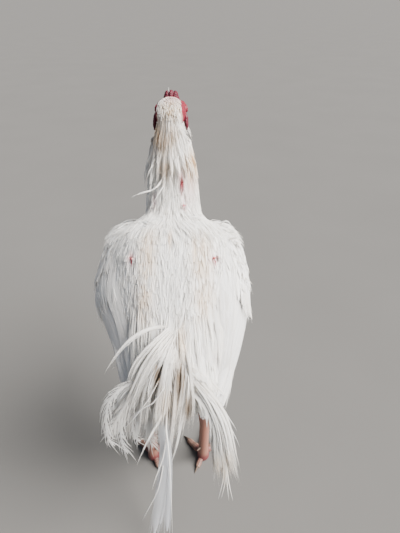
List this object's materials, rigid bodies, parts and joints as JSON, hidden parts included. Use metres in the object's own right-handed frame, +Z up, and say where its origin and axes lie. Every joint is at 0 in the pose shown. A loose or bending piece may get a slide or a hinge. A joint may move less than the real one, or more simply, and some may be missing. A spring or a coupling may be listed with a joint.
{
  "type": "aseel chicken",
  "caption": "White aseel cock standing upright, with a long neck, a red pea comb, folded wings, bare-scaled shanks and a low, worn tail.",
  "frame": {"origin": "centre of the bird's box, on the floor it stands on", "axes": "+Z up, +Y the way the bird faces, +X to its right side"},
  "size_m": [0.2382, 0.3324, 0.6556],
  "materials": {
    "feather": "soft white feather",
    "face": "bare red skin with short white feathers behind",
    "red_skin": "pebbled red skin",
    "bill": "pale horn",
    "eye": "wet",
    "leg_scale": "scaled skin",
    "claw": "pale horn"
  },
  "bodies": {
    "root": {"bill_lower": "bill", "bill_upper": "bill", "claw_hind_left": "claw", "claw_hind_right": "claw", "claw_inner_left": "claw", "claw_inner_right": "claw", "claw_middle_left": "claw", "claw_middle_right": "claw", "claw_outer_left": "claw", "claw_outer_right": "claw", "comb": "red_skin", "ear_lobe_left": "red_skin", "ear_lobe_right": "red_skin", "eye_left": "eye", "eye_right": "eye", "foot_left": "leg_scale", "foot_right": "leg_scale", "head": "face", "neck": "feather", "shank_left": "leg_scale", "shank_right": "leg_scale", "spur_left": "claw", "spur_right": "claw", "tail": "feather", "thigh_left": "feather", "thigh_right": "feather", "torso": "feather", "wattle_left": "red_skin", "wattle_right": "red_skin", "wing_left": "feather", "wing_right": "feather"}
  },
  "joints": []
}
